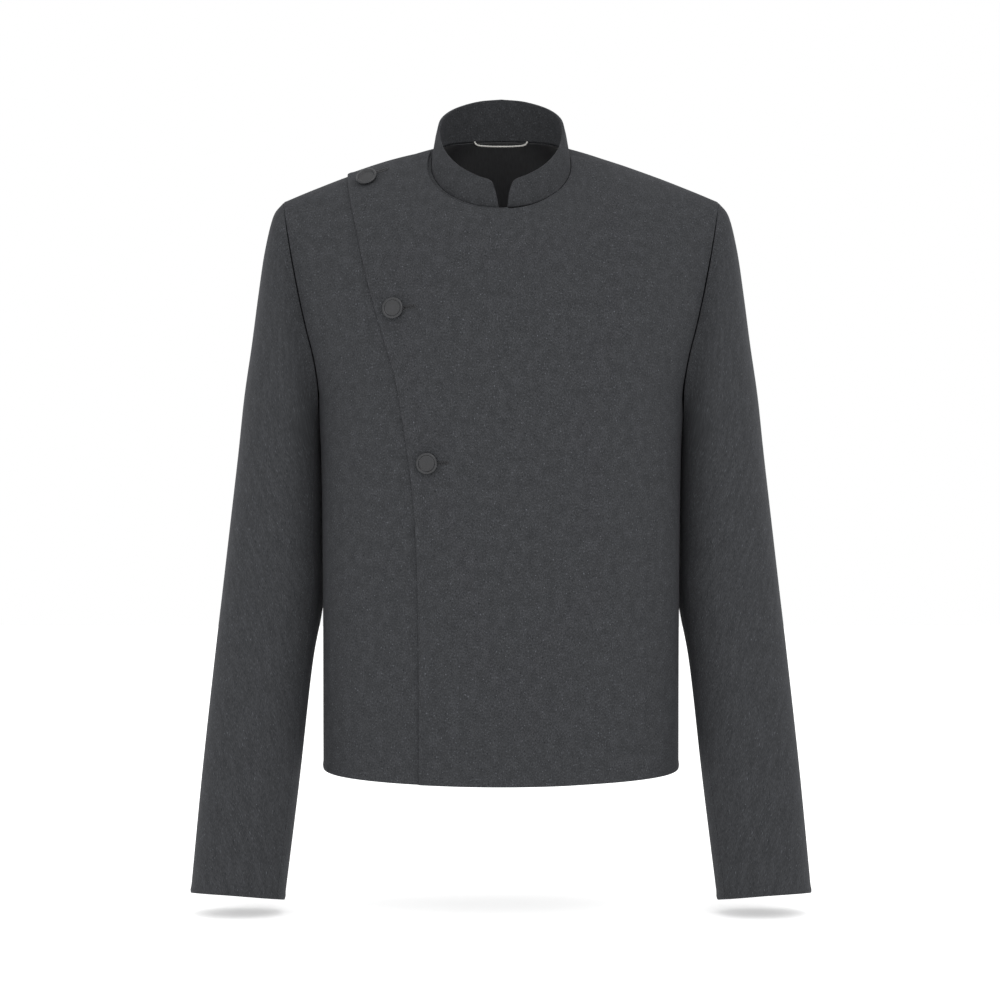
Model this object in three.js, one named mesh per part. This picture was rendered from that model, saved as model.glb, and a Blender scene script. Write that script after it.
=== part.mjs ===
// A hip-length wool jacket with a stand collar and an overlap that closes at the right shoulder.
// Millimetres. X points to the wearer's left, -Y to the front, Z up.
// The origin is at the base of the neck, midway between the shoulder seams' neck ends.
import * as THREE from "three";

// Cloth and seams
const clothWall = 2.0;
const collarWall = 2.5;
const liningWall = 1.0;
const seamGap = 0.3;
const overlapGap = 0.8;
const underarm = -275;
const chestLevel = -190;
const armholeFront = 50;
const armholeBack = 56;
const squareness = 2.5;

// Level sections of the body from the hem to the chest: half width and depth to the front and back.
const bodySections = [
  { z: -640, half: 177, front: 116, back: 112 },
  { z: -450, half: 177.5, front: 118, back: 114 },
  { z: -300, half: 179.5, front: 121, back: 118 },
  { z: -250, half: 183, front: 122, back: 121 },
  { z: -222, half: 189, front: 122, back: 123 },
  { z: -190, half: 198, front: 122, back: 125 },
];

// The hem's level from the centre to the side seam.
const hemLevels = {
  front: { centre: -625, side: -615.5 },
  back: { centre: -619, side: -615.5 },
};

// The neck seam from the centre to the shoulder seam, and how the cloth comes up to it:
// lean turns it in towards the neck and climb lifts it, in degrees.
const neckSeam = {
  front: [
    { along: 0, x: 0, y: -77.5, z: -65.6, lean: 0, climb: 50 },
    { along: 0.13, x: 16.5, y: -76.5, z: -64.3, lean: 9, climb: 50 },
    { along: 0.26, x: 31.2, y: -73, z: -61, lean: 18, climb: 48 },
    { along: 0.4, x: 46, y: -65.5, z: -54, lean: 27, climb: 45 },
    { along: 0.55, x: 59, y: -53, z: -43.5, lean: 34, climb: 42 },
    { along: 0.72, x: 68, y: -36, z: -28, lean: 40, climb: 38 },
    { along: 0.87, x: 69, y: -20, z: -12.5, lean: 42, climb: 35 },
    { along: 1, x: 66, y: -4, z: 0, lean: 40, climb: 32 },
  ],
  back: [
    { along: 0, x: 0, y: 53, z: 16, lean: 0, climb: 52 },
    { along: 0.35, x: 23, y: 50.5, z: 15.3, lean: 12, climb: 47 },
    { along: 0.66, x: 46, y: 38, z: 12.5, lean: 26, climb: 34 },
    { along: 0.85, x: 59.5, y: 18, z: 7, lean: 38, climb: 14 },
    { along: 1, x: 66, y: -4, z: 0, lean: 40, climb: -8 },
  ],
};

// The shoulder seam from the neck to the sleeve, with the climb of the front and of the back up to it.
const shoulderSeam = [
  { along: 0, x: 66, y: -4, z: 0, lean: 40, front: 32, back: -8 },
  { along: 0.3, x: 111, y: -2, z: -12.3, lean: 14, front: 16, back: -4 },
  { along: 0.58, x: 154, y: 0, z: -27, lean: 4, front: 8, back: -2 },
  { along: 0.83, x: 191, y: 0, z: -41.5, lean: 0, front: 3, back: 0 },
  { along: 1, x: 217, y: 0, z: -52.5, lean: 0, front: 0, back: 0 },
];

// How long the cloth keeps its rise above the chest and its roll before the seam, as shares of the way up and in.
const yokeCurve = {
  front: { rise: 0.34, neckRoll: 0.3, shoulderRoll: 0.24 },
  back: { rise: 0.46, neckRoll: 0.34, shoulderRoll: 0.45 },
};

// Free edges of the two fronts, from the hem up: where each crosses the body.
const overlapEdge = [
  { z: -640, x: -78.5 },
  { z: -470, x: -79 },
  { z: -368, x: -82.5 },
  { z: -301, x: -90 },
  { z: -234, x: -101 },
  { z: -199, x: -111 },
  { z: -137, x: -128.5 },
  { z: -83, x: -140.5 },
  { z: -47, x: -148.5 },
  { z: -20, x: -153 },
];
const underlapEdge = [
  { z: -640, x: 45 },
  { z: -170, x: 45 },
  { z: -110, x: 34 },
  { z: -64, x: 6 },
];
const overlapFade = 44;
const overlapTopTrim = 0.036;
const overlapStart = 3;

// Sleeve sections from the armhole to the cuff: the ends of each section next to the body and away from it,
// its depths to the front and back, and how far its middle lies forward.
const sleeveSections = [
  { at: 0, inX: 179.5, inZ: -275, outX: 217, outZ: -52.5, front: 50, back: 56, forward: 0 },
  { at: 1, inX: 180.4, inZ: -279, outX: 227.5, outZ: -67, front: 55, back: 61, forward: 0 },
  { at: 2, inX: 180.8, inZ: -284, outX: 235.5, outZ: -100, front: 60, back: 66, forward: 0 },
  { at: 3, inX: 181, inZ: -291, outX: 242, outZ: -145, front: 63, back: 68, forward: 0 },
  { at: 4, inX: 181, inZ: -302, outX: 248.5, outZ: -195, front: 64, back: 70, forward: 0 },
  { at: 5, inX: 181, inZ: -320, outX: 256, outZ: -247, front: 64, back: 70, forward: 0 },
  { at: 6, inX: 180.8, inZ: -350, outX: 262, outZ: -303, front: 62, back: 68, forward: 0 },
  { at: 7, inX: 180.6, inZ: -396, outX: 269.5, outZ: -366, front: 59, back: 64, forward: -2 },
  { at: 8, inX: 181.5, inZ: -452, outX: 278.5, outZ: -444, front: 55, back: 59, forward: -1 },
  { at: 9, inX: 188, inZ: -508, outX: 285, outZ: -505, front: 52, back: 55, forward: 6 },
  { at: 10, inX: 199, inZ: -621, outX: 295.5, outZ: -617, front: 47, back: 48, forward: 24 },
  { at: 11, inX: 213, inZ: -743.5, outX: 305, outZ: -736.5, front: 44, back: 44, forward: 43 },
];
const sleeveFullness = 2.2;
const capFade = 3;
// The section at which the cap and the upper half of the sleeve's rows end.
const capEnd = 5;
const cuffAt = 11;
const cuffFlareAt = 9;
const cuffRise = 6.6;
const underarmGap = 0.5;
const gapFadeAt = 0.5;
const capGap = seamGap * 1.2;
const seamNormalAt = 0.8;
const topSteepness = 1.6;

// Share of the half armhole, from the underarm up, that is the side edges' scoop below the chest.
const scoopShare = 0.4;

// Where the two seams of a sleeve run, in degrees from the side next to the body, forward and over.
const foreSeam = 32;
const hindSeam = 286;

// The collar's top edge from the back to the front centre, and how its ends are rounded.
const collarRim = [
  { along: 0, x: 0, y: 45, z: 57.4 },
  { along: 0.16, x: 25, y: 42, z: 54.5 },
  { along: 0.3, x: 48.5, y: 27, z: 45 },
  { along: 0.4, x: 60.2, y: 6, z: 32.5 },
  { along: 0.48, x: 62.5, y: -14, z: 18 },
  { along: 0.61, x: 57, y: -37, z: -3 },
  { along: 0.76, x: 42, y: -60, z: -22 },
  { along: 0.9, x: 20, y: -73, z: -35 },
  { along: 1, x: 0, y: -77, z: -40 },
];
const collarSide = 0.46;
const collarEnds = [
  { up: 0, right: 2, left: 6 },
  { up: 0.5, right: 5, left: 8 },
  { up: 0.8, right: 8, left: 11 },
  { up: 0.94, right: 10.5, left: 14 },
  { up: 1, right: 15, left: 18.5 },
];
const collarBow = 1.5;
const collarFootGap = 0.9;
const collarSideGap = 1.6;
const collarSideSpread = 0.12;
const collarCentreY = -10;
const collarInset = 0.5;

// Turned button with a raised rim, a flat middle and a shank: radius and height above the cloth.
const buttonProfile = [
  { radius: 3, height: 0 },
  { radius: 3, height: 1.4 },
  { radius: 8.6, height: 1.5 },
  { radius: 10.4, height: 2.4 },
  { radius: 10.6, height: 3.5 },
  { radius: 9.6, height: 4.5 },
  { radius: 8.2, height: 4.6 },
  { radius: 7.3, height: 3.9 },
];
const buttonMiddle = 3.7;

// Where each button sits as seen from the front, how far it tips forward on its shank, and how far it stands off.
const buttonPlaces = [
  { name: "button_shoulder", x: -131, z: -35.5, tip: 0.24, off: 0.9 },
  { name: "button_chest", x: -102.5, z: -167, tip: 0, off: 0.3 },
  { name: "button_waist", x: -70, z: -315, tip: 0, off: 0.3 },
];

// The hanger loop's route inside the back neck, and its size.
const loopRoute = [
  { x: -27, y: 45.8, z: 14.5 },
  { x: -25, y: 45, z: 11.4 },
  { x: -20.5, y: 45.4, z: 10 },
  { x: 0, y: 48, z: 9.6 },
  { x: 20.5, y: 45.4, z: 10 },
  { x: 25, y: 45, z: 11.4 },
  { x: 27, y: 45.8, z: 14.5 },
];
const loopRadius = 0.9;

// The lining behind the neck reaches one column past the neck seam to each side, and this many rows down.
const liningRows = 7;

// Share of the side edge that is side seam, and of the seams that belongs to the neck.
const sideSeamShare = 0.72;
const neckShare = 0.47;
// Where the yoke's columns pass from the neck seam's roll to the shoulder's, as shares of the neck's.
const rollFrom = 0.8;
const rollTo = 1.25;

const radians = THREE.MathUtils.degToRad;

// One named column of a table, read smoothly at a place between its rows.
function read(rows, key, at, name) {
  const last = rows.length - 1;
  const place = THREE.MathUtils.clamp(at, rows[0][key], rows[last][key]);
  let row = 0;
  while (row < last - 1 && place > rows[row + 1][key]) row += 1;
  const slope = (middle) => {
    const low = rows[Math.max(middle - 1, 0)];
    const high = rows[Math.min(middle + 1, last)];
    return (high[name] - low[name]) / (high[key] - low[key]);
  };
  const span = rows[row + 1][key] - rows[row][key];
  const t = (place - rows[row][key]) / span;
  const from = rows[row][name];
  const to = rows[row + 1][name];
  const bend = t * t * (3 - 2 * t);
  return from + (to - from) * bend
    + span * (t * (1 - t) * (1 - t) * slope(row) - t * t * (1 - t) * slope(row + 1));
}

const smooth = (low, high, value) => THREE.MathUtils.smoothstep(value, low, high);
const forwardSign = (face) => (face === "front" ? -1 : 1);

// Half width or depth that the body's level ring has left at the other distance.
function ringLeft(reach, other, otherReach) {
  const used = Math.min(Math.abs(other) / otherReach, 1);
  return reach * Math.pow(Math.max(1 - Math.pow(used, squareness), 0), 1 / squareness);
}

// Level and depth of a front's or back's side edge: side seam first, then the scoop of the armhole.
function sideEdge(face, up) {
  if (up <= sideSeamShare) {
    const z = THREE.MathUtils.lerp(hemLevels[face].side, underarm, up / sideSeamShare);
    return { z, depth: seamGap / 2 };
  }
  const turn = ((up - sideSeamShare) / (1 - sideSeamShare)) * Math.PI / 2;
  const reach = face === "front" ? armholeFront : armholeBack;
  return {
    z: underarm + (chestLevel - underarm) * (1 - Math.cos(turn)),
    depth: seamGap / 2 + (reach - seamGap / 2) * Math.sin(turn),
  };
}

// The body below the chest, by level superellipse rings.
function lowerPoint(face, across, up) {
  const side = Math.abs(across);
  const edge = sideEdge(face, up);
  const middleZ = THREE.MathUtils.lerp(hemLevels[face].centre, chestLevel, up);
  const z = THREE.MathUtils.lerp(middleZ, edge.z, side * side);
  const edgeHalf = read(bodySections, "z", edge.z, "half");
  const edgeDepth = read(bodySections, "z", edge.z, face);
  const edgeX = ringLeft(edgeHalf, edge.depth, edgeDepth);
  const turn = Math.atan2(edgeX, edge.depth) * side;
  const half = read(bodySections, "z", z, "half");
  const depth = read(bodySections, "z", z, face);
  const reach = Math.pow(
    Math.pow(Math.sin(turn) / half, squareness) + Math.pow(Math.cos(turn) / depth, squareness),
    -1 / squareness,
  );
  return new THREE.Vector3(
    Math.sign(across) * reach * Math.sin(turn),
    forwardSign(face) * reach * Math.cos(turn),
    z,
  );
}

// Where a column of cloth ends at the neck or shoulder seam, and the direction in which it arrives.
function topEnd(face, across) {
  const side = Math.abs(across);
  const onNeck = side < neckShare;
  const rows = onNeck ? neckSeam[face] : shoulderSeam;
  const along = onNeck ? side / neckShare : (side - neckShare) / (1 - neckShare);
  const get = (name) => read(rows, "along", along, name);
  const mirror = Math.sign(across) || 1;
  const inward = -forwardSign(face);
  const lean = radians(get("lean"));
  const climb = radians(get(onNeck ? "climb" : face));
  const seamHalf = onNeck ? 0 : seamGap / 2;
  return {
    point: new THREE.Vector3(mirror * get("x"), get("y") - inward * seamHalf, get("z")),
    arrival: new THREE.Vector3(
      -mirror * Math.sin(lean) * Math.cos(climb),
      inward * Math.cos(lean) * Math.cos(climb),
      Math.sin(climb),
    ),
  };
}

// The outside of the body. Across runs from -1 at the wearer's right side to 1 at the left;
// up runs from 0 at the hem through 1 at the chest to 2 at the neck and shoulder seams.
function bodyPoint(face, across, up) {
  if (up <= 1) return lowerPoint(face, across, up);
  const step = 0.01;
  const start = lowerPoint(face, across, 1);
  const rising = start.clone().sub(lowerPoint(face, across, 1 - step)).normalize();
  const end = topEnd(face, across);
  const curve = yokeCurve[face];
  const side = Math.abs(across);
  const way = start.distanceTo(end.point);
  const toShoulder = smooth(neckShare * rollFrom, neckShare * rollTo, side);
  const roll = THREE.MathUtils.lerp(curve.neckRoll, curve.shoulderRoll, toShoulder);
  const path = new THREE.CubicBezierCurve3(
    start,
    start.clone().addScaledVector(rising, way * curve.rise),
    end.point.clone().addScaledVector(end.arrival, -way * roll),
    end.point,
  );
  return path.getPoint(up - 1);
}

// The body's direction outwards at a point.
function bodyNormal(face, across, up) {
  if (up <= 1) {
    const p = lowerPoint(face, across, up);
    const half = read(bodySections, "z", p.z, "half");
    const depth = read(bodySections, "z", p.z, face);
    const level = (z) => ({
      half: read(bodySections, "z", z, "half"),
      depth: read(bodySections, "z", z, face),
    });
    const ring = (sizes) =>
      Math.pow(Math.abs(p.x) / sizes.half, squareness) + Math.pow(Math.abs(p.y) / sizes.depth, squareness);
    const step = 1;
    return new THREE.Vector3(
      (Math.sign(p.x) * squareness * Math.pow(Math.abs(p.x), squareness - 1)) / Math.pow(half, squareness),
      (Math.sign(p.y) * squareness * Math.pow(Math.abs(p.y), squareness - 1)) / Math.pow(depth, squareness),
      (ring(level(p.z + step)) - ring(level(p.z - step))) / (2 * step),
    ).normalize();
  }
  const step = 0.004;
  const at = (a, u) => bodyPoint(face, THREE.MathUtils.clamp(a, -1, 1), THREE.MathUtils.clamp(u, 1, 2));
  const sideways = at(across + step, up).sub(at(across - step, up));
  const upwards = at(across, up + step).sub(at(across, up - step));
  return sideways.cross(upwards).normalize().multiplyScalar(-forwardSign(face));
}

// The direction for a wall's thickness: level along the shoulder seam, where front and back meet.
function wallNormal(face, across, up) {
  const normal = bodyNormal(face, across, up);
  if (up === 2 && Math.abs(across) >= neckShare - 1e-6) normal.setY(0).normalize();
  return normal;
}

// How far across the front a free edge lies on one row of the cloth, found by halving a span.
function edgeAcross(edge, up) {
  const halvings = 30;
  let low = -1;
  let high = 1;
  for (let step = 0; step < halvings; step += 1) {
    const middle = (low + high) / 2;
    const p = bodyPoint("front", middle, up);
    if (p.x < read(edge, "z", p.z, "x")) low = middle;
    else high = middle;
  }
  return (low + high) / 2;
}

// A closed wall of cloth from a grid of outside points and the directions to its inside.
function wallGeometry(outside, inside) {
  const rows = outside.length;
  const columns = outside[0].length;
  const positions = [];
  const indices = [];
  for (const grid of [outside, inside]) {
    for (const row of grid) for (const point of row) positions.push(point.x, point.y, point.z);
  }
  const index = (layer, row, column) => (layer * rows + row) * columns + column;
  const quad = (a, b, c, d) => indices.push(a, b, c, a, c, d);
  for (let row = 0; row < rows - 1; row += 1) {
    for (let column = 0; column < columns - 1; column += 1) {
      quad(index(0, row, column), index(0, row, column + 1), index(0, row + 1, column + 1), index(0, row + 1, column));
      quad(index(1, row, column), index(1, row + 1, column), index(1, row + 1, column + 1), index(1, row, column + 1));
    }
  }
  for (let column = 0; column < columns - 1; column += 1) {
    const top = rows - 1;
    quad(index(0, 0, column + 1), index(0, 0, column), index(1, 0, column), index(1, 0, column + 1));
    quad(index(0, top, column), index(0, top, column + 1), index(1, top, column + 1), index(1, top, column));
  }
  for (let row = 0; row < rows - 1; row += 1) {
    const end = columns - 1;
    quad(index(0, row, 0), index(0, row + 1, 0), index(1, row + 1, 0), index(1, row, 0));
    quad(index(0, row + 1, end), index(0, row, end), index(1, row, end), index(1, row + 1, end));
  }
  const geometry = new THREE.BufferGeometry();
  geometry.setAttribute("position", new THREE.Float32BufferAttribute(positions, 3));
  geometry.setIndex(indices);
  geometry.computeVertexNormals();
  return geometry;
}

// Grids of outside and inside points from a function of two shares.
function gridWall(rows, columns, sample, wall) {
  const outside = [];
  const inside = [];
  for (let row = 0; row <= rows; row += 1) {
    outside.push([]);
    inside.push([]);
    for (let column = 0; column <= columns; column += 1) {
      const { point, normal } = sample(column / columns, row / rows);
      outside[row].push(point);
      inside[row].push(point.clone().addScaledVector(normal, -wall));
    }
  }
  return wallGeometry(outside, inside);
}

// Spreads a share over stretches whose ends are given in pairs of share and value.
function stretches(pairs, share) {
  let place = 0;
  while (place < pairs.length - 2 && share > pairs[place + 1][0]) place += 1;
  const [from, low] = pairs[place];
  const [to, high] = pairs[place + 1];
  return low + ((high - low) * (share - from)) / (to - from);
}

// Rows of the body's grid from the hem to the underarm, the chest and the top seams.
const rowsToUnderarm = 8;
const rowsToChest = 5;
const rowsToTop = 9;
const bodyRows = rowsToUnderarm + rowsToChest + rowsToTop;

// Columns of the grids over one shoulder seam, over the neck seam and from the neck to the overlap's edge.
const shoulderColumns = 5;
const neckColumns = 14;
const overlapColumns = 6;

// Grids of the other pieces: rows from one end to the other, columns across.
const sleeveRows = 18;
const topSleeveColumns = 12;
const underSleeveColumns = 6;
const collarRows = 5;
const collarColumns = 32;

function upFromShare(share) {
  const atUnderarm = rowsToUnderarm / bodyRows;
  const atChest = (rowsToUnderarm + rowsToChest) / bodyRows;
  return stretches([[0, 0], [atUnderarm, sideSeamShare], [atChest, 1], [1, 2]], share);
}

// The overlap lies on the under front, and comes down to the body past the under front's edge.
function overlapLift(point) {
  const edge = read(underlapEdge, "z", point.z, "x") + overlapStart;
  return (clothWall + overlapGap) * (1 - smooth(edge, edge + overlapFade, point.x));
}

function frontOverSample(share, rowShare) {
  const up = upFromShare(rowShare);
  const edge = edgeAcross(overlapEdge, up);
  const columns = overlapColumns + neckColumns + shoulderColumns;
  const kneeShare = overlapColumns / columns;
  const neckEndShare = (overlapColumns + neckColumns) / columns;
  const even = edge + (neckShare - edge) * (kneeShare / neckEndShare);
  const knee = THREE.MathUtils.lerp(even, -neckShare, smooth(1, 2, up));
  const across = stretches([[0, edge], [kneeShare, knee], [neckEndShare, neckShare], [1, 1]], share);
  const lifted = overlapLift(bodyPoint("front", across, up)) / (clothWall + overlapGap);
  const trimmed = up > 1 ? up - (up - 1) * overlapTopTrim * lifted : up;
  const normal = wallNormal("front", across, trimmed);
  const base = bodyPoint("front", across, trimmed);
  return { point: base.clone().addScaledVector(normal, overlapLift(base)), normal };
}

function frontUnderSample(share, rowShare) {
  const up = upFromShare(rowShare);
  const edge = edgeAcross(underlapEdge, up);
  const kneeShare = shoulderColumns / (shoulderColumns + neckColumns / 2);
  const across = stretches([[0, -1], [kneeShare, -neckShare], [1, edge]], share);
  return { point: bodyPoint("front", across, up), normal: wallNormal("front", across, up) };
}

function backSample(share, rowShare) {
  const up = upFromShare(rowShare);
  const columns = neckColumns + 2 * shoulderColumns;
  const neckStart = shoulderColumns / columns;
  const across = -stretches([[0, -1], [neckStart, -neckShare], [1 - neckStart, neckShare], [1, 1]], share);
  return { point: bodyPoint("back", across, up), normal: wallNormal("back", across, up) };
}

function liningSample(share, rowShare) {
  const up = THREE.MathUtils.lerp(2 - liningRows / rowsToTop, 2, rowShare);
  const liningAcross = neckShare + (1 - neckShare) / shoulderColumns;
  const neckStart = 1 / (neckColumns + 2);
  const columns = [[0, -liningAcross], [neckStart, -neckShare], [1 - neckStart, neckShare], [1, liningAcross]];
  const across = -stretches(columns, share);
  const normal = bodyNormal("back", across, up);
  const point = bodyPoint("back", across, up).addScaledVector(normal, -(clothWall + seamGap));
  return { point, normal };
}

// A point on the armhole of the wearer's left side, from the underarm over the front, and the body's direction there.
function armhole(turn) {
  const whole = THREE.MathUtils.euclideanModulo(turn, 2 * Math.PI);
  const face = whole <= Math.PI ? "front" : "back";
  const half = Math.min(whole, 2 * Math.PI - whole);
  const share = half / Math.PI;
  const up = share < scoopShare
    ? sideSeamShare + (1 - sideSeamShare) * (share / scoopShare)
    : 1 + (share - scoopShare) / (1 - scoopShare);
  return { point: bodyPoint(face, 1, up), normal: bodyNormal(face, 1, up) };
}

// A sleeve section's own ring, before the cap is shaped to the armhole.
function sleeveRing(at, turn) {
  const get = (name) => read(sleeveSections, "at", at, name);
  const cosine = Math.cos(turn);
  const sine = Math.sin(turn);
  const reach = Math.pow(
    Math.pow(Math.abs(cosine), sleeveFullness) + Math.pow(Math.abs(sine), sleeveFullness),
    -1 / sleeveFullness,
  );
  const depth = sine > 0 ? get("front") : get("back");
  const flare = Math.max(at - cuffFlareAt, 0) / (cuffAt - cuffFlareAt);
  const lifted = cuffRise * flare * Math.max(sine, 0) * (at / cuffAt);
  return new THREE.Vector3(
    (get("inX") + get("outX")) / 2 - ((get("outX") - get("inX")) / 2) * cosine * reach,
    -get("forward") - depth * sine * reach,
    (get("inZ") + get("outZ")) / 2 - ((get("outZ") - get("inZ")) / 2) * cosine * reach + lifted,
  );
}

// The outside of the wearer's left sleeve.
function sleevePoint(at, turn) {
  const ring = sleeveRing(at, turn);
  const left = Math.max(1 - at / capFade, 0);
  if (left > 0) {
    const shift = armhole(turn).point.sub(sleeveRing(0, turn));
    ring.addScaledVector(shift, left * left);
  }
  return ring;
}

function sleeveNormal(at, turn) {
  const step = 0.02;
  const along = sleevePoint(Math.min(at + step, cuffAt), turn).sub(sleevePoint(Math.max(at - step, 0), turn));
  const round = sleevePoint(at, turn + step).sub(sleevePoint(at, turn - step));
  return along.cross(round).normalize();
}

// A sleeve piece between two seams. The first row stands off the armhole by the seam's gap.
function sleeveSample(from, to, mirror) {
  return (share, rowShare) => {
    const at = stretches([[0, 0], [0.5, capEnd], [1, cuffAt]], rowShare);
    const step = 0.01;
    const arcPerTurn = (turn) => sleevePoint(at, turn).distanceTo(sleevePoint(at, turn + step)) / step;
    const low = radians(from) + seamGap / 2 / arcPerTurn(radians(from));
    const high = radians(to) - seamGap / 2 / arcPerTurn(radians(to));
    const turn = THREE.MathUtils.lerp(low, high, share);
    const own = sleeveNormal(at, turn);
    const point = sleevePoint(at, turn);
    const onTop = THREE.MathUtils.clamp(-Math.cos(turn) * topSteepness, 0, 1);
    const nearSeam = Math.max(1 - at / seamNormalAt, 0);
    const normal = own.clone();
    if (nearSeam > 0 && onTop > 0) {
      normal.lerp(armhole(turn).normal, nearSeam * onTop).normalize();
    }
    if (at < gapFadeAt) {
      const away = sleevePoint(0.1, turn).sub(sleevePoint(0, turn)).normalize();
      point.addScaledVector(away, capGap * (1 - at / gapFadeAt));
      point.x += underarmGap * Math.max(Math.cos(turn), 0) * (1 - at / gapFadeAt);
    }
    if (mirror) {
      point.x *= -1;
      normal.x *= -1;
    }
    return { point, normal };
  };
}

// A sleeve's rows run down it, so its faces are turned to the outside, unless it is mirrored.
function turnFacesRound(geometry) {
  const order = geometry.index.array;
  for (let face = 0; face < order.length; face += 3) {
    [order[face + 1], order[face + 2]] = [order[face + 2], order[face + 1]];
  }
}

// The neck seam all round, from -1 at the front over the wearer's right shoulder and the back to 1 at the front.
function neckAround(around) {
  const side = Math.abs(around);
  const mirror = Math.sign(around) || 1;
  const onBack = side < collarSide;
  const rows = onBack ? neckSeam.back : neckSeam.front;
  const along = onBack ? side / collarSide : (1 - side) / (1 - collarSide);
  const get = (name) => read(rows, "along", along, name);
  return new THREE.Vector3(mirror * get("x"), get("y"), get("z"));
}

function rimAround(around) {
  const get = (name) => read(collarRim, "along", Math.abs(around), name);
  return new THREE.Vector3((Math.sign(around) || 1) * get("x"), get("y"), get("z"));
}

// The collar's outside: up the band from the neck seam to its rim, bowed a little outwards.
function collarPoint(around, up) {
  const foot = neckAround(around);
  const rim = rimAround(around);
  const outwards = new THREE.Vector3(foot.x, foot.y - collarCentreY, 0).normalize();
  const bow = collarBow * 4 * up * (1 - up);
  return foot.lerp(rim, up).addScaledVector(outwards, bow - collarInset * (1 - up));
}

function collarSample(share, rowShare) {
  const nearFront = neckSeam.front[1];
  const sharePerLength = (nearFront.along / nearFront.x) * (1 - collarSide);
  const trim = (side) => read(collarEnds, "up", rowShare, side) * sharePerLength;
  const around = THREE.MathUtils.lerp(-1 + trim("right"), 1 - trim("left"), share);
  const step = 0.01;
  const end = 1 - step / 10;
  const sideways = collarPoint(Math.min(around + step, end), rowShare)
    .sub(collarPoint(Math.max(around - step, -end), rowShare));
  const upwards = collarPoint(around, Math.min(rowShare + step, 1))
    .sub(collarPoint(around, Math.max(rowShare - step, 0)));
  const normal = sideways.clone().cross(upwards).normalize();
  const point = collarPoint(around, rowShare);
  const atSide = Math.exp(-Math.pow((Math.abs(around) - collarSide) / collarSideSpread, 2));
  point.addScaledVector(upwards.normalize(), (collarFootGap + collarSideGap * atSide) * (1 - rowShare));
  return { point, normal };
}

// A button turned about its own axis and seated just clear of the overlap.
function buttonGeometry(place) {
  const { point, normal } = overlapAt(place.x, place.z);
  const axis = normal.clone().add(new THREE.Vector3(0, -place.tip, 0)).normalize();
  const sides = 20;
  const profile = [new THREE.Vector2(0, 0)];
  for (const row of buttonProfile) profile.push(new THREE.Vector2(row.radius, row.height));
  profile.push(new THREE.Vector2(0, buttonMiddle));
  const geometry = new THREE.LatheGeometry(profile, sides);
  geometry.applyQuaternion(new THREE.Quaternion().setFromUnitVectors(new THREE.Vector3(0, 1, 0), axis));
  const seat = point.clone().addScaledVector(normal, place.off);
  geometry.translate(seat.x, seat.y, seat.z);
  return geometry;
}

// The front's outside at a place seen from the front, found by small corrections: each is divided by
// rather more than the cloth's length across or up for one unit of its share.
function overlapAt(x, z) {
  const acrossLength = 260;
  const lowerLength = 430;
  const upperLength = 190;
  const corrections = 40;
  const highest = 1.995;
  let across = x / acrossLength;
  let up = 1;
  for (let step = 0; step < corrections; step += 1) {
    const p = bodyPoint("front", across, up);
    across += (x - p.x) / acrossLength;
    up = THREE.MathUtils.clamp(up + (z - p.z) / (up < 1 ? lowerLength : upperLength), 0, highest);
  }
  const normal = bodyNormal("front", across, up);
  const base = bodyPoint("front", across, up);
  return { point: base.addScaledVector(normal, overlapLift(base)), normal };
}

function loopGeometry() {
  const path = new THREE.CatmullRomCurve3(loopRoute.map((row) => new THREE.Vector3(row.x, row.y, row.z)));
  const section = new THREE.Shape();
  section.absarc(0, 0, loopRadius, 0, Math.PI * 2);
  const curveSegments = 4;
  const steps = curveSegments * loopRoute.length;
  return new THREE.ExtrudeGeometry(section, { extrudePath: path, steps, curveSegments });
}

const wool = { color: 0x434345, roughness: 0.95, metalness: 0 };
const satin = { color: 0x17171a, roughness: 0.5, metalness: 0 };
const horn = { color: 0x2f2f32, roughness: 0.55, metalness: 0 };
const cord = { color: 0xb9b8b4, roughness: 0.5, metalness: 0 };

const jacket = new THREE.Group();

function addPiece(name, geometry, look) {
  const mesh = new THREE.Mesh(geometry, new THREE.MeshStandardMaterial(look));
  mesh.name = name;
  jacket.add(mesh);
}

const overColumns = overlapColumns + neckColumns + shoulderColumns;
const underColumns = shoulderColumns + neckColumns / 2;
const backColumns = neckColumns + 2 * shoulderColumns;
addPiece("front_over", gridWall(bodyRows, overColumns, frontOverSample, clothWall), wool);
addPiece("front_under", gridWall(bodyRows, underColumns, frontUnderSample, clothWall), wool);
addPiece("back", gridWall(bodyRows, backColumns, backSample, clothWall), wool);
for (const side of ["left", "right"]) {
  const mirror = side === "right";
  const top = gridWall(sleeveRows, topSleeveColumns, sleeveSample(foreSeam, hindSeam, mirror), clothWall);
  const under = gridWall(sleeveRows, underSleeveColumns, sleeveSample(hindSeam - 360, foreSeam, mirror), clothWall);
  if (!mirror) for (const piece of [top, under]) turnFacesRound(piece);
  addPiece(`sleeve_${side}_top`, top, wool);
  addPiece(`sleeve_${side}_under`, under, wool);
}
addPiece("collar", gridWall(collarRows, collarColumns, collarSample, collarWall), wool);
addPiece("lining_yoke", gridWall(liningRows, neckColumns + 2, liningSample, liningWall), satin);
addPiece("hanger_loop", loopGeometry(), cord);
for (const place of buttonPlaces) addPiece(place.name, buttonGeometry(place), horn);

export default jacket;
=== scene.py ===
"""Builds the looks of a hip-length wool jacket with a stand collar over its fixed frame."""
import math

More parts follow.
